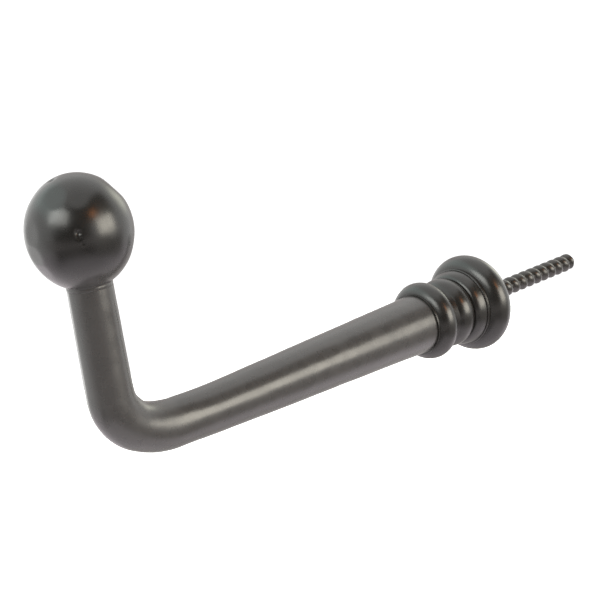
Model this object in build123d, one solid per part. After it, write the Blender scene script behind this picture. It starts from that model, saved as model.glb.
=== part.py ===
from build123d import *
from math import asin, cos, degrees, radians, sin
import os

# Screw-in holdback hook, in millimetres.
# The origin is the centre of the base's wall face. The arm runs out from the wall along -Y, its end turns up
# along +Z to the ball, and the wood screw goes into the wall along +Y.

# turned base, as distances out from the wall and radii
WALL_BEAD_CREST = 5.0
WALL_BEAD_RADIUS = 16.0
WALL_BEAD_HEIGHT = 4.9
WALL_BEAD_FRONT = 4.8
STEP_START = 9.7
STEP_END = 10.8
STEP_RADIUS = 12.75
STEP_ROUNDING = 0.25
OVOLO_RADIUS = 12.35
OVOLO_LENGTH = 4.0
OVOLO_HEIGHT = 2.0
ROLL_START = 15.0
ROLL_START_RADIUS = 10.5
ROLL_CREST = 18.3
ROLL_RADIUS = 11.25
ROLL_END = 21.3
ROLL_END_RADIUS = 9.8
NECK_RADIUS = 9.1
BASE_LENGTH = 22.7
BASE_BORE_RADIUS = 3.3

# ring on the arm's root
COLLAR_NECK = 0.9
COLLAR_WIDTH = 8.6
COLLAR_RADIUS = 12.6
COLLAR_STEP_WIDTH = 0.7
COLLAR_STEP_RADIUS = 10.05
COLLAR_FOOT_RADIUS = 9.85
TENON_RADIUS = 7.0

# arm and upright
ARM_ROOT_RADIUS = 9.5
ARM_ELBOW_RADIUS = 6.5
UPRIGHT_TOP_RADIUS = 6.1
ARM_STRAIGHT_END = 132.0
GENTLE_BEND_RADIUS = 25.2
GENTLE_BEND_ANGLE = 30.0
TIGHT_BEND_RADIUS = 12.3
UPRIGHT_LENGTH = 29.5
INNER_BEND_RADIUS = 19.0

# ball on its short neck
BALL_RADIUS = 14.06
BALL_HALF_HEIGHT = 15.24
BALL_NECK_HEIGHT = 1.2
BALL_NECK_FILLET = 0.5
SEAM_DEPTH = 0.25
SEAM_WIDTH = 0.2
STUD_RADIUS = 3.0
STUD_LENGTH = 18.0
STUD_CHAMFER = 0.6

# hanger bolt
MACHINE_THREAD_RADIUS = 2.675
MACHINE_THREAD_PLAY = 0.05
MACHINE_THREAD_REACH = 8.0
TAPPED_HOLE_SPARE = 2.0
BOLT_CHAMFER = 0.5
SHANK_RADIUS = 3.0
SHANK_LENGTH = 11.0
SHANK_TAPER = 1.0
SCREW_LENGTH = 52.3
WOOD_THREAD_PITCH = 4.1
WOOD_THREAD_ROOT = 2.15
WOOD_THREAD_WIDTH = 3.8
WOOD_THREAD_SINK = 0.3
WOOD_THREAD_LEAD = 2.1
WOOD_THREAD_RUNOUT = 3.5
CREST_CLEAR = 0.3
TIP_LENGTH = 2.5
TIP_RADIUS = 1.9
TIP_ROUNDING = 0.5
THREAD_START_SPARE = 1.0

# worked out from the sizes above
QUARTER_TURN = 90.0
COLLAR_BACK = BASE_LENGTH + COLLAR_NECK
ARM_START = COLLAR_BACK + COLLAR_WIDTH
BEND_A = radians(GENTLE_BEND_ANGLE)
TIGHT_BEND_ANGLE = QUARTER_TURN - GENTLE_BEND_ANGLE
TIGHT_BEND_START = ARM_STRAIGHT_END + GENTLE_BEND_RADIUS * sin(BEND_A)
UPRIGHT_AT = TIGHT_BEND_START + TIGHT_BEND_RADIUS * (1 - sin(BEND_A))
UPRIGHT_FOOT = GENTLE_BEND_RADIUS * (1 - cos(BEND_A)) + TIGHT_BEND_RADIUS * cos(BEND_A)
ARM_TOP = UPRIGHT_FOOT + UPRIGHT_LENGTH
BALL_FOOT = ARM_TOP + BALL_NECK_HEIGHT
BALL_FOOT_ANGLE = degrees(asin(UPRIGHT_TOP_RADIUS / BALL_RADIUS))
BALL_CENTRE = BALL_FOOT + BALL_HALF_HEIGHT * cos(radians(BALL_FOOT_ANGLE))
TAPPED_RADIUS = MACHINE_THREAD_RADIUS + MACHINE_THREAD_PLAY
TAPPED_HOLE_END = BASE_LENGTH + MACHINE_THREAD_REACH + TAPPED_HOLE_SPARE
BOLT_FRONT = BASE_LENGTH + MACHINE_THREAD_REACH

UPRIGHT_AXIS = Axis((0, -UPRIGHT_AT, 0), (0, 0, 1))


def out(distance, radius=0.0):
    """A point of an outline beside the arm's axis: its distance out from the wall, and its radius."""
    return (-distance, radius)


def turned(*edges):
    """The solid that a closed outline makes when it is turned round the arm's axis."""
    return revolve(Plane.YZ * make_face(edges), Axis.Y)


def rod(start, end, radius):
    """A plain round bar on the arm's axis, between two distances out from the wall."""
    return turned(Polyline(out(start), out(start, radius), out(end, radius), out(end), close=True))


def base_boss():
    """Wall bead, crisp step, quarter-round, valley, broad roll and hollow neck, with a clearance bore."""
    ring = WALL_BEAD_RADIUS - WALL_BEAD_HEIGHT
    front_angle = degrees(asin((OVOLO_RADIUS - ring) / WALL_BEAD_HEIGHT))
    bead_back = EllipticalCenterArc(
        out(WALL_BEAD_CREST, ring),
        WALL_BEAD_CREST,
        WALL_BEAD_HEIGHT,
        start_angle=0,
        arc_size=QUARTER_TURN,
    )
    bead_front = EllipticalCenterArc(
        out(WALL_BEAD_CREST, ring),
        WALL_BEAD_FRONT,
        WALL_BEAD_HEIGHT,
        start_angle=QUARTER_TURN,
        arc_size=QUARTER_TURN - front_angle,
    )
    step_side = Polyline(
        bead_front @ 1,
        out(STEP_START, STEP_RADIUS),
        out(STEP_END - STEP_ROUNDING, STEP_RADIUS),
    )
    step_edge = CenterArc(
        out(STEP_END - STEP_ROUNDING, STEP_RADIUS - STEP_ROUNDING), STEP_ROUNDING, QUARTER_TURN, QUARTER_TURN
    )
    step_foot = Line(step_edge @ 1, out(STEP_END, OVOLO_RADIUS))
    ovolo = EllipticalCenterArc(
        out(STEP_END, OVOLO_RADIUS - OVOLO_HEIGHT),
        OVOLO_LENGTH,
        OVOLO_HEIGHT,
        start_angle=QUARTER_TURN,
        arc_size=QUARTER_TURN,
    )
    valley = Line(ovolo @ 1, out(ROLL_START, ROLL_START_RADIUS))
    roll = ThreePointArc(
        out(ROLL_START, ROLL_START_RADIUS),
        out(ROLL_CREST, ROLL_RADIUS),
        out(ROLL_END, ROLL_END_RADIUS),
    )
    front = Polyline(
        out(ROLL_END, ROLL_END_RADIUS),
        out(BASE_LENGTH, NECK_RADIUS),
        out(BASE_LENGTH, BASE_BORE_RADIUS),
        out(0, BASE_BORE_RADIUS),
        bead_back @ 0,
    )
    return turned(bead_back, bead_front, step_side, step_edge, step_foot, ovolo, valley, roll, front)


def collar_bead():
    """Ring with a round outside, a narrow step on its arm side, and a short neck on its wall side."""
    bead_end = ARM_START - COLLAR_STEP_WIDTH
    round_side = ThreePointArc(
        out(COLLAR_BACK, COLLAR_FOOT_RADIUS),
        out((COLLAR_BACK + bead_end) / 2, COLLAR_RADIUS),
        out(bead_end, COLLAR_FOOT_RADIUS),
    )
    sides = Polyline(
        out(bead_end, COLLAR_FOOT_RADIUS),
        out(bead_end, COLLAR_STEP_RADIUS),
        out(ARM_START, COLLAR_STEP_RADIUS),
        out(ARM_START, TENON_RADIUS),
        out(BASE_LENGTH, TENON_RADIUS),
        out(BASE_LENGTH, NECK_RADIUS),
        out(COLLAR_BACK, NECK_RADIUS),
        out(COLLAR_BACK, COLLAR_FOOT_RADIUS),
    )
    return turned(round_side, sides)


def bent_rod(*bends):
    """Round bar along bends that follow on, each given by its centre, radius, start and turn."""
    path = Curve()
    for distance, height, radius, start, turn in bends:
        path += Plane.YZ * CenterArc(out(distance, height), radius, start, -turn)
    section = Plane(path @ 0, z_dir=path % 0) * Circle(ARM_ELBOW_RADIUS)
    return sweep(section, path=path)


def elbow():
    """The two bends that turn the arm up, and one wide bend that fattens the inside of their corner."""
    two_bends = bent_rod(
        (ARM_STRAIGHT_END, GENTLE_BEND_RADIUS, GENTLE_BEND_RADIUS, -QUARTER_TURN, GENTLE_BEND_ANGLE),
        (
            UPRIGHT_AT - TIGHT_BEND_RADIUS,
            UPRIGHT_FOOT,
            TIGHT_BEND_RADIUS,
            -QUARTER_TURN - GENTLE_BEND_ANGLE,
            TIGHT_BEND_ANGLE,
        ),
    )
    wide_bend = bent_rod(
        (
            UPRIGHT_AT - INNER_BEND_RADIUS,
            INNER_BEND_RADIUS,
            INNER_BEND_RADIUS,
            -QUARTER_TURN,
            QUARTER_TURN,
        )
    )
    return two_bends + wide_bend


def stud(chamfered):
    """The ball's stud, half in the upright and half in the ball. Unchamfered, it is also its hole."""
    bar = Plane((0, -UPRIGHT_AT, ARM_TOP)) * Cylinder(STUD_RADIUS, STUD_LENGTH)
    if chamfered:
        bar = chamfer(bar.edges().filter_by(GeomType.CIRCLE), STUD_CHAMFER)
    return bar


def arm():
    """Tenon, tapered arm, elbow and upright, with a hole for the hanger bolt and one for the ball's stud."""
    root = turned(
        Polyline(
            out(BASE_LENGTH),
            out(BASE_LENGTH, TENON_RADIUS),
            out(ARM_START, TENON_RADIUS),
            out(ARM_START, ARM_ROOT_RADIUS),
            out(ARM_STRAIGHT_END, ARM_ELBOW_RADIUS),
            out(ARM_STRAIGHT_END),
            close=True,
        )
    )
    foot = Plane((0, -UPRIGHT_AT, UPRIGHT_FOOT)) * Circle(ARM_ELBOW_RADIUS)
    top = Plane((0, -UPRIGHT_AT, ARM_TOP)) * Circle(UPRIGHT_TOP_RADIUS)
    upright = loft([foot, top])
    tapped_hole = rod(BASE_LENGTH, TAPPED_HOLE_END, TAPPED_RADIUS)
    return root + elbow() + upright - tapped_hole - stud(chamfered=False)


def ball_finial():
    """Ball, a little taller than wide, on a short neck with a fine seam at its foot."""
    seam_top = ARM_TOP + SEAM_WIDTH
    seam_side = -UPRIGHT_AT + UPRIGHT_TOP_RADIUS - SEAM_DEPTH
    neck_side = -UPRIGHT_AT + UPRIGHT_TOP_RADIUS
    round_side = EllipticalCenterArc(
        (-UPRIGHT_AT, BALL_CENTRE),
        BALL_RADIUS,
        BALL_HALF_HEIGHT,
        start_angle=BALL_FOOT_ANGLE - QUARTER_TURN,
        arc_size=2 * QUARTER_TURN - BALL_FOOT_ANGLE,
    )
    foot = Polyline(
        (-UPRIGHT_AT, BALL_CENTRE + BALL_HALF_HEIGHT),
        (-UPRIGHT_AT, ARM_TOP),
        (seam_side, ARM_TOP),
        (seam_side, seam_top),
        (neck_side, seam_top),
        (neck_side, BALL_FOOT),
    )
    ball = revolve(Plane.YZ * make_face([round_side, foot]), UPRIGHT_AXIS)
    crease = ball.edges().filter_by(GeomType.CIRCLE).sort_by(Axis.Z)[-1]
    return fillet(crease, BALL_NECK_FILLET) - stud(chamfered=False)


def wood_thread():
    """Coarse rounded right-hand thread, which runs out into the shank at one end and the tip at the other."""
    start = SHANK_LENGTH - WOOD_THREAD_LEAD
    path = Helix(
        WOOD_THREAD_PITCH,
        SCREW_LENGTH + WOOD_THREAD_PITCH - start,
        WOOD_THREAD_ROOT,
        center=(0, start, 0),
        direction=(0, 1, 0),
    )
    half = WOOD_THREAD_WIDTH / 2
    foot_start = (-WOOD_THREAD_SINK, -half)
    foot_end = (-WOOD_THREAD_SINK, half)
    crest = ThreePointArc(foot_start, (SHANK_RADIUS - WOOD_THREAD_ROOT, 0), foot_end)
    foot = Line(foot_end, foot_start)
    begin = path @ 0
    section = Plane(begin, x_dir=(begin.X, 0, begin.Z), z_dir=path % 0) * make_face([crest, foot])
    ridge = sweep(section, path=path, is_frenet=True)
    runout_start = start + THREAD_START_SPARE
    over_crest = SHANK_RADIUS + CREST_CLEAR
    envelope = turned(
        Polyline(
            out(-runout_start),
            out(-runout_start, WOOD_THREAD_ROOT),
            out(-runout_start - WOOD_THREAD_RUNOUT, over_crest),
            out(-SCREW_LENGTH + TIP_LENGTH, over_crest),
            out(-SCREW_LENGTH + CREST_CLEAR, TIP_RADIUS - CREST_CLEAR),
            out(-SCREW_LENGTH + CREST_CLEAR),
            close=True,
        )
    )
    return ridge & envelope


def hanger_bolt():
    """Machine-threaded front end as a plain bar at its pitch diameter, shank, and wood screw."""
    core = turned(
        Polyline(
            out(BOLT_FRONT),
            out(BOLT_FRONT, MACHINE_THREAD_RADIUS - BOLT_CHAMFER),
            out(BOLT_FRONT - BOLT_CHAMFER, MACHINE_THREAD_RADIUS),
            out(0, MACHINE_THREAD_RADIUS),
            out(0, SHANK_RADIUS),
            out(-SHANK_LENGTH, SHANK_RADIUS),
            out(-SHANK_LENGTH - SHANK_TAPER, WOOD_THREAD_ROOT),
            out(-SCREW_LENGTH + TIP_LENGTH, WOOD_THREAD_ROOT),
            out(-SCREW_LENGTH + TIP_ROUNDING, TIP_RADIUS),
            out(-SCREW_LENGTH, TIP_RADIUS - TIP_ROUNDING),
            out(-SCREW_LENGTH),
            close=True,
        )
    )
    return core + wood_thread()


PIECES = {
    "hanger_bolt": hanger_bolt(),
    "base_boss": base_boss(),
    "collar_bead": collar_bead(),
    "arm": arm(),
    "ball_stud": stud(chamfered=True),
    "ball_finial": ball_finial(),
}

os.makedirs("parts", exist_ok=True)
for name, piece in PIECES.items():
    export_step(piece, f"parts/{name}.step")
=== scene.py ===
from math import cos, exp, pi, radians, sin, tan

import bmesh
import bpy
from mathutils import Matrix, Vector, noise as unevenness


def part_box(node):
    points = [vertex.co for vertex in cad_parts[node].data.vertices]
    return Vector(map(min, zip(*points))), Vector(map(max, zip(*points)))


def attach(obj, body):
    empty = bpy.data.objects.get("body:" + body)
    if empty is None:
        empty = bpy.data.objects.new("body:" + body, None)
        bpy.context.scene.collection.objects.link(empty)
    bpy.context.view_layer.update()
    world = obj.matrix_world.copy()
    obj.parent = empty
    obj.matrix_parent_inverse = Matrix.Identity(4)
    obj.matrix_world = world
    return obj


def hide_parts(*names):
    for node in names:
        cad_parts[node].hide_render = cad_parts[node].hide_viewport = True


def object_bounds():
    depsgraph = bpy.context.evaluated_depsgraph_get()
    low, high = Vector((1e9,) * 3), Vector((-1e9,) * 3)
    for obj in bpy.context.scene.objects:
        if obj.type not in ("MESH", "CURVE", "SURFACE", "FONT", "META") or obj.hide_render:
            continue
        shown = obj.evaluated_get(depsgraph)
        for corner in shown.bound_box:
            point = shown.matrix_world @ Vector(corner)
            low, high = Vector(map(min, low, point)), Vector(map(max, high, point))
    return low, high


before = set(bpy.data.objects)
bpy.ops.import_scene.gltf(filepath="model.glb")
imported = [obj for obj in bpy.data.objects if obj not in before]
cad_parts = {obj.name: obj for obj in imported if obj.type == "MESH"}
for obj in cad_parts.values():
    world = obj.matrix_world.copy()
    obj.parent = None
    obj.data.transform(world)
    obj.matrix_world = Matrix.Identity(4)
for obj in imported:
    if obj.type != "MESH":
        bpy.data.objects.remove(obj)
cad_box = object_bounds()

MM = 0.001
QUARTER_TURN = radians(90)
scene = bpy.context.scene
scene.view_settings.view_transform = "Standard"

# ---------------------------------------------------------------- node helpers


def group(name, inputs, outputs):
    """A shader node group with these sockets. Each input is (name, kind, value)."""
    tree = bpy.data.node_groups.new(name, "ShaderNodeTree")
    for label, kind, value in inputs:
        socket = tree.interface.new_socket(label, in_out="INPUT", socket_type=kind)
        if value is not None:
            socket.default_value = value
    for label, kind in outputs:
        tree.interface.new_socket(label, in_out="OUTPUT", socket_type=kind)
    start = tree.nodes.new("NodeGroupInput")
    end = tree.nodes.new("NodeGroupOutput")
    return tree, start.outputs, end.inputs


def node(tree, kind, values=None, **settings):
    """A node with its settings, and with numbers set or sockets linked to its inputs."""
    made = tree.nodes.new(kind)
    for key, value in settings.items():
        setattr(made, key, value)
    for key, value in (values or {}).items():
        if isinstance(value, bpy.types.NodeSocket):
            tree.links.new(value, made.inputs[key])
        else:
            made.inputs[key].default_value = value
    return made


def maths(tree, operation, *values):
    """One calculation on numbers or sockets."""
    return node(tree, "ShaderNodeMath", dict(enumerate(values)), operation=operation).outputs[0]


def spread(tree, value, low, high, to_low=0.0, to_high=1.0):
    """The value's stretch from low to high, eased, as to_low to to_high."""
    return node(
        tree,
        "ShaderNodeMapRange",
        {"Value": value, "From Min": low, "From Max": high, "To Min": to_low, "To Max": to_high},
        interpolation_type="SMOOTHSTEP",
    ).outputs["Result"]


def noise(tree, where, scale, detail=2.0, roughness=0.5):
    """Unevenness from 0 to 1, with this many waves a metre."""
    return node(
        tree,
        "ShaderNodeTexNoise",
        {
            "Vector": where,
            "Scale": scale,
            "Detail": detail,
            "Roughness": roughness,
        },
    ).outputs["Fac"]


def mixed(tree, amount, first, second):
    """A colour between the first and the second, each a colour or a socket."""
    made = node(tree, "ShaderNodeMix", {"Factor": amount}, data_type="RGBA")
    for socket, value in ((made.inputs[6], first), (made.inputs[7], second)):
        if isinstance(value, bpy.types.NodeSocket):
            tree.links.new(value, socket)
        else:
            socket.default_value = (*value, 1.0)
    return made.outputs[2]


# ---------------------------------------------------------------- shared effects


PEEL_DEPTH = 0.06
PIT_DEPTH = 0.12


def coating_surface():
    """Black coating over forged metal: waves, orange peel and pits as a height, and a shade mask."""
    tree, given, out = group(
        "coating surface",
        [
            ("Where", "NodeSocketVector", None),
            ("Waves", "NodeSocketFloat", 1.0),
            ("Peel", "NodeSocketFloat", 1.0),
            ("Pits", "NodeSocketFloat", 1.0),
        ],
        [("Height", "NodeSocketFloat"), ("Sheen", "NodeSocketFloat")],
    )
    where = given["Where"]
    waves = noise(tree, where, 70, 2.0, 0.45)
    peel = noise(tree, where, 900, 3.0, 0.55)
    cells = node(tree, "ShaderNodeTexVoronoi", {"Vector": where, "Scale": 130, "Randomness": 1.0})
    sparse = noise(tree, where, 60, 2.0)
    hole = spread(tree, cells.outputs["Distance"], 0.0, 0.11, 1.0, 0.0)
    pit = maths(tree, "MULTIPLY", hole, spread(tree, sparse, 0.52, 0.6))
    raised = maths(tree, "MULTIPLY", maths(tree, "MULTIPLY", peel, given["Peel"]), PEEL_DEPTH)
    sunk = maths(tree, "MULTIPLY", maths(tree, "MULTIPLY", pit, given["Pits"]), PIT_DEPTH)
    height = maths(tree, "MULTIPLY", waves, given["Waves"])
    height = maths(tree, "ADD", height, raised)
    height = maths(tree, "SUBTRACT", height, sunk)
    tree.links.new(height, out["Height"])
    tree.links.new(noise(tree, where, 240, 5.0, 0.6), out["Sheen"])
    return tree


COATING_SURFACE = coating_surface()


# ---------------------------------------------------------------- finishes


def new_material(name):
    """A material, its node tree, its shader and its object coordinates."""
    material = bpy.data.materials.new(name)
    material.use_nodes = True
    tree = material.node_tree
    shader = tree.nodes["Principled BSDF"]
    where = node(tree, "ShaderNodeTexCoord").outputs["Object"]
    return material, tree, shader, where


def coated_surface(tree, shader, where, levels, depth):
    """The coating's waves, peel and pits as a bump on the shader. Its shade mask comes back."""
    surface = node(tree, "ShaderNodeGroup", node_tree=COATING_SURFACE)
    tree.links.new(where, surface.inputs["Where"])
    for label, value in levels.items():
        surface.inputs[label].default_value = value
    bump = node(
        tree,
        "ShaderNodeBump",
        {"Height": surface.outputs["Height"], "Strength": 1.0, "Distance": depth},
    )
    tree.links.new(bump.outputs["Normal"], shader.inputs["Normal"])
    return surface.outputs["Sheen"]


WARM_BLACK = (0.0095, 0.0083, 0.0072)
NEUTRAL_BLACK = (0.0090, 0.0084, 0.0082)
COATING_VARIATION = 1.6
COATING_SMOOTHEST = 0.25
COATING_ROUGHEST = 0.31
COATING_BUMP = 0.12 * MM


def black_coating(name, tint=WARM_BLACK, waves=1.0, pits=1.0, shade=1.0, neck=None):
    """Satin black coating, fading paler towards the bottom below a neck of (low, high, shade) if there
    is one.
    """
    material, tree, shader, where = new_material(name)
    levels = {"Waves": waves, "Peel": 1.0, "Pits": pits}
    sheen = coated_surface(tree, shader, where, levels, COATING_BUMP)
    darker = [shade * c for c in tint]
    lighter = [COATING_VARIATION * c for c in darker]
    colour = mixed(tree, sheen, darker, lighter)
    if neck:
        neck_low, neck_high, neck_shade = neck
        height = node(tree, "ShaderNodeSeparateXYZ", {0: where}).outputs["Z"]
        paler = [neck_shade * c for c in NEUTRAL_BLACK]
        colour = mixed(tree, spread(tree, height, neck_low, neck_high), paler, colour)
    roughness = spread(tree, sheen, 0.25, 0.75, COATING_SMOOTHEST, COATING_ROUGHEST)
    tree.links.new(colour, shader.inputs["Base Color"])
    tree.links.new(roughness, shader.inputs["Roughness"])
    shader.inputs["IOR"].default_value = 1.5
    return material


SCREW_DARKER = (0.007, 0.006, 0.005)
SCREW_LIGHTER = (0.021, 0.018, 0.015)
SCREW_SMOOTHEST = 0.2
SCREW_ROUGHEST = 0.4
SCREW_BUMP = 0.2 * MM


def blackened_steel(name):
    """Blackened screw steel, uneven in shade and polish."""
    material, tree, shader, where = new_material(name)
    sheen = coated_surface(tree, shader, where, {}, SCREW_BUMP)
    colour = mixed(tree, sheen, SCREW_DARKER, SCREW_LIGHTER)
    roughness = spread(tree, sheen, 0.25, 0.75, SCREW_SMOOTHEST, SCREW_ROUGHEST)
    tree.links.new(colour, shader.inputs["Base Color"])
    tree.links.new(roughness, shader.inputs["Roughness"])
    return material


STEEL_DARKER = (0.35, 0.34, 0.32)
STEEL_LIGHTER = (0.5, 0.49, 0.47)


def plain_steel(name):
    """Bare steel with a fine grain."""
    material, tree, shader, where = new_material(name)
    grain = noise(tree, where, 900, 4.0)
    colour = mixed(tree, grain, STEEL_DARKER, STEEL_LIGHTER)
    tree.links.new(colour, shader.inputs["Base Color"])
    tree.links.new(spread(tree, grain, 0.2, 0.8, 0.25, 0.45), shader.inputs["Roughness"])
    shader.inputs["Metallic"].default_value = 1.0
    return material


def finish_with(name, material):
    """Give a CAD node this finish."""
    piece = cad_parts[name]
    piece.data.materials.clear()
    piece.data.materials.append(material)


# ---------------------------------------------------------------- forged pieces


MERGE_DISTANCE = 0.001 * MM


def finished_piece(name, bm, material, stands_for):
    """The piece as an object that rides on the hook and hides its CAD node."""
    bmesh.ops.remove_doubles(bm, verts=bm.verts, dist=MERGE_DISTANCE)
    bmesh.ops.recalc_face_normals(bm, faces=bm.faces)
    mesh = bpy.data.meshes.new(name)
    bm.to_mesh(mesh)
    bm.free()
    mesh.shade_smooth()
    mesh.materials.append(material)
    piece = bpy.data.objects.new(name, mesh)
    scene.collection.objects.link(piece)
    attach(piece, "hook")
    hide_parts(stands_for)


def swell(where, size, seed):
    """Slow unevenness from -1 to 1, as a hammer leaves it."""
    return unevenness.noise(where / size + Vector((seed, 0.0, -seed)))


def bump_at(distance, middle, width):
    """A smooth bump that is 1 at its middle and fades over its width."""
    return exp(-(((distance - middle) / width) ** 2))


def softly_below_zero(value, softness):
    """The value where it is well below zero, nothing where it is well above, rounded between."""
    return (value - (value * value + softness * softness) ** 0.5) / 2


def next_ring(bm, edges):
    """A ring's edges drawn out once: the new ring's vertices and its edges."""
    drawn = bmesh.ops.extrude_edge_only(bm, edges=edges)["geom"]
    ring = [g for g in drawn if isinstance(g, bmesh.types.BMVert)]
    return ring, [g for g in drawn if isinstance(g, bmesh.types.BMEdge)]


# where the arm starts and ends and where the ball stands, as distances out from the wall and heights
arm_start = -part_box("collar_bead")[0].y
arm_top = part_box("arm")[1].z
ball_low, ball_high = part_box("ball_finial")
half_across = (ball_high.x - ball_low.x) / 2
upright_at = (ball_low.y + ball_high.y) / 2

# arm: its radii, the bends of its centre line, and how finely it is drawn
ROOT_RADIUS = 9.5 * MM
ELBOW_RADIUS = 6.42 * MM
TOP_RADIUS = 6.1 * MM
STRAIGHT_END = 132.0 * MM
GENTLE_RADIUS = 25.2 * MM
GENTLE_TURN = radians(30)
TIGHT_RADIUS = 12.3 * MM
HIDDEN_IN_COLLAR = 0.8 * MM
RING_STEP = 0.8 * MM
RIM_STEP = 0.05 * MM
RING_SIDES = 112


def bend_stations(centre, radius, start, turn):
    """Places along a bend: each the centre line's point and how far the bar has turned up."""
    steps = max(2, round(radius * turn / RING_STEP))
    for k in range(1, steps + 1):
        angle = start + turn * k / steps
        yield centre + radius * Vector((0, -sin(angle), -cos(angle))), angle


def arm_stations():
    """The centre line from inside the collar to the ball's foot, with the bar's turn at each place."""
    inside = arm_start - HIDDEN_IN_COLLAR
    steps = round((STRAIGHT_END - inside) / RING_STEP)
    for k in range(steps + 1):
        yield Vector((0, -inside - (STRAIGHT_END - inside) * k / steps, 0)), 0.0
    gentle_centre = Vector((0, -STRAIGHT_END, GENTLE_RADIUS))
    yield from bend_stations(gentle_centre, GENTLE_RADIUS, 0.0, GENTLE_TURN)
    tight_centre = gentle_centre + (GENTLE_RADIUS - TIGHT_RADIUS) * Vector(
        (0, -sin(GENTLE_TURN), -cos(GENTLE_TURN))
    )
    yield from bend_stations(tight_centre, TIGHT_RADIUS, GENTLE_TURN, QUARTER_TURN - GENTLE_TURN)
    foot = Vector((0, upright_at, tight_centre.z))
    rim = arm_top - foot.z - RIM_STEP
    steps = round(rim / RING_STEP)
    for k in range(1, steps + 1):
        yield foot + Vector((0, 0, rim * k / steps)), QUARTER_TURN
    yield foot + Vector((0, 0, rim + RIM_STEP)), QUARTER_TURN


def thickness(point, turned):
    """The bar's radius before its forging marks."""
    if turned == 0.0:
        along = (-point.y - arm_start) / (STRAIGHT_END - arm_start)
        return ROOT_RADIUS + (ELBOW_RADIUS - ROOT_RADIUS) * max(0.0, along)
    if turned < QUARTER_TURN:
        return ELBOW_RADIUS
    up = (point.z - TIGHT_RADIUS) / (arm_top - TIGHT_RADIUS)
    return ELBOW_RADIUS + (TOP_RADIUS - ELBOW_RADIUS) * up


# forging marks: upset and draw as (height, distance along the bar, width) of a bump
INNER_UPSETS = (
    (1.1 * MM, 137.5 * MM, 12.0 * MM),
    (0.7 * MM, 152.0 * MM, 5.5 * MM),
)
BELLY = (0.25 * MM, 108.0 * MM, 38.0 * MM)
BELLY_ROUND = 0.6
BELLY_ABOVE = 0.4
# unevenness as (height, size, seed)
ARM_SWELLS = ((0.07 * MM, 9.0 * MM, 3.0), (0.03 * MM, 3.5 * MM, 7.0))
# the hammered flat along the upright
UPRIGHT_FLAT = Vector((-0.42, -0.91, 0.0))
UPRIGHT_FLAT_DEPTH = 0.14 * MM
UPRIGHT_FLAT_EDGE = 0.02 * MM
# a flat only acts where the surface faces it by more than this cosine
FLAT_REACH = 0.5


def drawn_bar(bm):
    """The plain tapered bar, ring by ring. Each ring comes back with its point and turn."""
    ring = bmesh.ops.create_circle(bm, segments=RING_SIDES, radius=1.0)["verts"]
    root_edges = bm.edges[:]
    edges = root_edges
    placed = Matrix.Identity(4)
    rings = []
    for point, turned in arm_stations():
        if rings:
            ring, edges = next_ring(bm, edges)
        radius = thickness(point, turned)
        station = (
            Matrix.Translation(point)
            @ Matrix.Rotation(QUARTER_TURN - turned, 4, "X")
            @ Matrix.Diagonal((radius, radius, radius, 1.0))
        )
        bmesh.ops.transform(bm, matrix=station @ placed.inverted(), verts=ring)
        placed = station
        rings.append((ring, point, turned))
    bmesh.ops.edgeloop_fill(bm, edges=root_edges)
    bmesh.ops.edgeloop_fill(bm, edges=edges)
    return rings


def forging_rise(vert, point, turned, upset, belly):
    """How far the forging moved this place out from the bar's centre line."""
    reach = (vert.co - point).length
    away = (vert.co - point).normalized()
    facing = away.dot(Vector((0, sin(turned), cos(turned))))
    rise = upset * max(0.0, facing) ** 2 + belly * (BELLY_ROUND - BELLY_ABOVE * facing)
    for height, size, seed in ARM_SWELLS:
        rise += height * swell(vert.co, size, seed)
    facing = away.dot(UPRIGHT_FLAT)
    if facing > FLAT_REACH:
        room = (reach - UPRIGHT_FLAT_DEPTH * sin(turned) ** 4) / facing - reach - rise
        rise += softly_below_zero(room, UPRIGHT_FLAT_EDGE)
    return away * rise


def forged_arm():
    """Tapered round bar bent up at its end, upset inside the bend and slightly uneven."""
    bm = bmesh.new()
    rings = drawn_bar(bm)
    place = arm_start
    last = rings[0][1]
    for ring, point, turned in rings:
        place += (point - last).length
        last = point
        upset = sum(height * bump_at(place, *where) for height, *where in INNER_UPSETS)
        belly = BELLY[0] * bump_at(place, *BELLY[1:])
        for vert in ring:
            vert.co += forging_rise(vert, point, turned, upset, belly)
    finished_piece("forged_arm", bm, ARM_COATING, "arm")


# ball: flats that the hammer left, each a heading from the ball's centre and its depth
BALL_FLATS = (
    ((0.33, -0.60, 0.73), 0.026),
    ((0.68, -0.36, 0.65), 0.014),
    ((-0.05, -0.99, 0.16), 0.022),
    ((-0.10, -0.97, -0.24), 0.024),
    ((-0.08, -0.86, -0.50), 0.020),
    ((0.39, 0.66, 0.65), 0.024),
    ((-0.55, -0.45, 0.70), 0.009),
    ((-0.85, -0.45, 0.20), 0.016),
    ((-0.90, 0.25, 0.35), 0.026),
    ((-0.60, 0.75, -0.10), 0.024),
    ((-0.75, 0.10, -0.60), 0.022),
    ((0.15, 0.95, 0.25), 0.020),
    ((0.45, 0.80, -0.35), 0.018),
    ((-0.20, 0.40, 0.88), 0.008),
    ((0.60, -0.20, -0.75), 0.012),
)
FLAT_EDGE = 0.014
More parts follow.
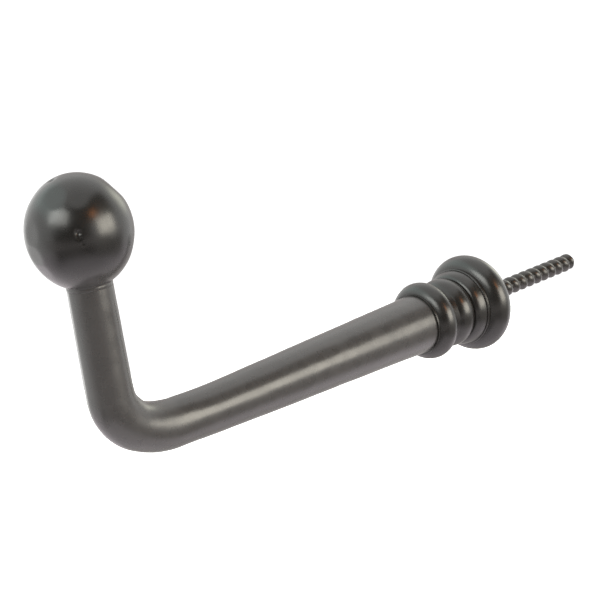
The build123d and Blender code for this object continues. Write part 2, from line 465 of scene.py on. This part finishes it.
# small marks as (heading, width, height), sunk ones negative
MARKS = (
    ((-0.09, -0.32, 0.94), 0.9 * MM, -0.35 * MM),
    ((0.81, -0.57, 0.12), 0.75 * MM, -0.5 * MM),
    ((0.83, -0.555, 0.02), 0.5 * MM, -0.22 * MM),
    ((0.80, -0.60, 0.04), 0.35 * MM, -0.16 * MM),
    ((0.845, -0.52, -0.06), 0.4 * MM, -0.18 * MM),
    ((0.825, -0.54, 0.20), 0.5 * MM, 0.3 * MM),
    ((0.79, -0.60, 0.14), 0.3 * MM, 0.1 * MM),
)
BALL_SWELL = 0.0006
BALL_SWELL_SIZE = 0.45
BALL_SWELL_SEED = 2.0
FULLEST_REACH = 0.9995
BALL_HALF_HEIGHT = 15.24 * MM
NECK_HEIGHT = 1.2 * MM
# the neck's rings as (drop below the ball's foot, radius), with the fine seam at its end
NECK_RINGS = (
    (0.35 * MM, 6.16 * MM),
    (0.8 * MM, 6.11 * MM),
    (1.05 * MM, 6.1 * MM),
    (1.12 * MM, 6.05 * MM),
    (NECK_HEIGHT, 6.05 * MM),
)


def hammered_reach(outward):
    """How far the ball's surface lies from its centre in this direction, as a share of its radius."""
    reach = 1.0
    for flat, depth in BALL_FLATS:
        facing = outward.dot(Vector(flat).normalized())
        if facing > FLAT_REACH:
            room = (1 - depth) / facing - 1.0
            reach = min(reach, 1.0 + softly_below_zero(room, FLAT_EDGE))
    reach -= BALL_SWELL * (1 + swell(outward, BALL_SWELL_SIZE, BALL_SWELL_SEED))
    for where, width, height in MARKS:
        apart = half_across * (outward - Vector(where).normalized()).length
        reach += height / half_across * bump_at(apart, 0.0, width)
    return min(reach, FULLEST_REACH)


def forged_ball():
    """Ball on a short neck, hammered from a sphere: flats, one sharp scar and small dents."""
    foot = arm_top + NECK_HEIGHT
    bm = bmesh.new()
    bmesh.ops.create_uvsphere(bm, u_segments=256, v_segments=176, radius=1.0)
    for vert in bm.verts:
        outward = vert.co.normalized()
        vert.co = outward * hammered_reach(outward)
    bmesh.ops.scale(bm, vec=(half_across, half_across, BALL_HALF_HEIGHT), verts=bm.verts)
    centre = (0, upright_at, ball_high.z - BALL_HALF_HEIGHT)
    bmesh.ops.translate(bm, vec=centre, verts=bm.verts)
    cut = bmesh.ops.bisect_plane(
        bm,
        geom=bm.verts[:] + bm.edges[:] + bm.faces[:],
        plane_co=(0, upright_at, foot),
        plane_no=(0, 0, 1),
        clear_inner=True,
    )
    rim = [g for g in cut["geom_cut"] if isinstance(g, bmesh.types.BMEdge)]
    for drop, radius in NECK_RINGS:
        ring, rim = next_ring(bm, rim)
        for vert in ring:
            side = Vector((vert.co.x, vert.co.y - upright_at, 0)).normalized()
            vert.co = side * radius + Vector((0, upright_at, foot - drop))
    bmesh.ops.edgeloop_fill(bm, edges=rim)
    finished_piece("forged_ball", bm, BALL_COATING, "ball_finial")


ARM_COATING = black_coating("arm coating", NEUTRAL_BLACK, pits=0.6, shade=2.5)
NECK_FADE = (arm_top + 1.0 * MM, arm_top + 9.0 * MM, 3.2)
BALL_COATING = black_coating("ball coating", waves=0.6, shade=0.45, neck=NECK_FADE)
finish_with("arm", ARM_COATING)
finish_with("collar_bead", black_coating("collar coating", waves=0.4, shade=0.65))
finish_with("base_boss", black_coating("base coating", waves=0.4, shade=0.65))
finish_with("ball_finial", BALL_COATING)
finish_with("hanger_bolt", blackened_steel("screw steel"))
finish_with("ball_stud", plain_steel("stud steel"))
forged_arm()
forged_ball()

# ---------------------------------------------------------------- stage

low, high = cad_box
middle = (low + high) / 2
FLOOR_REACH = 0.30
FLOOR_GAP = 0.004
# below the ball when the hook is turned down
floor_drop = high.z + FLOOR_GAP

table = bmesh.new()
bmesh.ops.create_grid(table, x_segments=1, y_segments=1, size=FLOOR_REACH)
bmesh.ops.translate(table, verts=table.verts, vec=(middle.x, middle.y, -floor_drop))
floor_mesh = bpy.data.meshes.new("floor")
table.to_mesh(floor_mesh)
table.free()
floor = bpy.data.objects.new("floor", floor_mesh)
scene.collection.objects.link(floor)
floor_paint, _, floor_shader, _ = new_material("pale floor")
floor_shader.inputs["Base Color"].default_value = (0.86, 0.86, 0.86, 1)
floor_shader.inputs["Emission Color"].default_value = (1, 1, 1, 1)
floor_shader.inputs["Emission Strength"].default_value = 0.6
floor_shader.inputs["Roughness"].default_value = 0.9
floor.data.materials.append(floor_paint)
floor.visible_glossy = False

# camera: where it stands and how it is turned, from the wall face's centre
camera_data = bpy.data.cameras.new("camera")
camera = bpy.data.objects.new("camera", camera_data)
scene.collection.objects.link(camera)
camera_data.sensor_width = 36.0
camera_data.lens = 84.0
camera_data.clip_start = 0.01
camera_data.shift_x = -0.0006
camera_data.shift_y = 0.0014
stand = Vector((300.13, -347.64, 113.71)) * MM
right = Vector((0.68411, 0.71435, -0.14730))
upward = Vector((-0.06520, 0.26105, 0.96312))
back = right.cross(upward)
turn = Matrix((right, upward, back)).transposed()
camera.matrix_world = Matrix.Translation(stand) @ turn.to_4x4()
scene.camera = camera


def heading(azimuth, elevation):
    """A direction in the studio: degrees from -Y towards +X, and degrees above the level."""
    a, e = radians(azimuth), radians(elevation)
    return Vector((sin(a) * cos(e), -cos(a) * cos(e), sin(e)))


LAMP_DISTANCE = 1.5


def softbox(name, azimuth, elevation, wide, tall, glow, colour):
    """A lamp of this angular size in degrees and this radiance, facing the hook."""
    data = bpy.data.lights.new(name, "AREA")
    data.shape = "RECTANGLE"
    data.size = 2 * LAMP_DISTANCE * tan(radians(wide / 2))
    data.size_y = 2 * LAMP_DISTANCE * tan(radians(tall / 2))
    data.energy = glow * data.size * data.size_y * pi
    data.color = colour
    box = bpy.data.objects.new(name, data)
    scene.collection.objects.link(box)
    direction = heading(azimuth, elevation)
    box.location = middle + direction * LAMP_DISTANCE
    box.rotation_euler = direction.to_track_quat("Z", "Y").to_euler()
    box.visible_camera = False


softbox("key", 113, 8.5, 38, 26, 8.4, colour=(1.0, 0.94, 0.8))
softbox("second", 10, 34, 38, 25, 6.6, colour=(1.0, 1.0, 0.95))

world = bpy.data.worlds.new("studio")
scene.world = world
world.use_nodes = True
sky = world.node_tree
toward = node(sky, "ShaderNodeTexCoord").outputs["Generated"]


def patch(azimuth, elevation, wide, tall, soft):
    """A mask of the room's walls, one inside a rectangle of this angular size in degrees."""
    facing = heading(azimuth, elevation)
    across = heading(azimuth + 90, 0)
    over = facing.cross(across) * -1
    sides = []
    for axis, size in ((across, wide), (over, tall)):
        along = node(sky, "ShaderNodeVectorMath", {0: toward, 1: axis}, operation="DOT_PRODUCT")
        far = maths(sky, "ABSOLUTE", along.outputs["Value"])
        edge = sin(radians(min(size / 2, 90)))
        blur = sin(radians(soft))
        sides.append(spread(sky, far, edge - blur, edge + blur, 1.0, 0.0))
    front = node(sky, "ShaderNodeVectorMath", {0: toward, 1: facing}, operation="DOT_PRODUCT")
    ahead = spread(sky, front.outputs["Value"], 0.0, 0.1)
    return maths(sky, "MULTIPLY", maths(sky, "MULTIPLY", *sides), ahead)


WALL_GLOW = (1.75, 1.75, 1.72)
GROUND_GLOW = (1.62, 1.5, 1.57)
BACKDROP_GLOW = (1.2, 1.2, 1.2)
# openings and screens in the walls: azimuth, elevation, width, height and edge in degrees, and glow
PATCHES = (
    (41, 9, 82, 96, 8, (0.1, 0.1, 0.1)),
    (34, -17, 109, 13, 6, (1.1, 1.02, 1.0)),
    (111, 40, 70, 34, 6, (0.2, 0.19, 0.17)),
    (122, -27, 62, 31, 6, (0.6, 0.57, 0.55)),
    (-39, 47, 78, 32, 8, (2.14, 2.42, 2.34)),
    (-167, 17, 31, 22, 8, (4.4, 4.4, 3.8)),
    (-138, -20, 44, 97, 8, (0.85, 0.8, 0.78)),
    (97, 31, 11, 10, 3, (8.0, 2.6, 0.5)),
)

upness = node(sky, "ShaderNodeSeparateXYZ", {0: toward}).outputs["Z"]
walls = mixed(sky, spread(sky, upness, -0.5, -0.3, 1.0, 0.0), WALL_GLOW, GROUND_GLOW)
for *where, glow in PATCHES:
    walls = mixed(sky, patch(*where), walls, glow)

to_camera = node(sky, "ShaderNodeLightPath").outputs["Is Camera Ray"]
backdrop = sky.nodes["Background"]
sky.links.new(mixed(sky, to_camera, walls, BACKDROP_GLOW), backdrop.inputs["Color"])
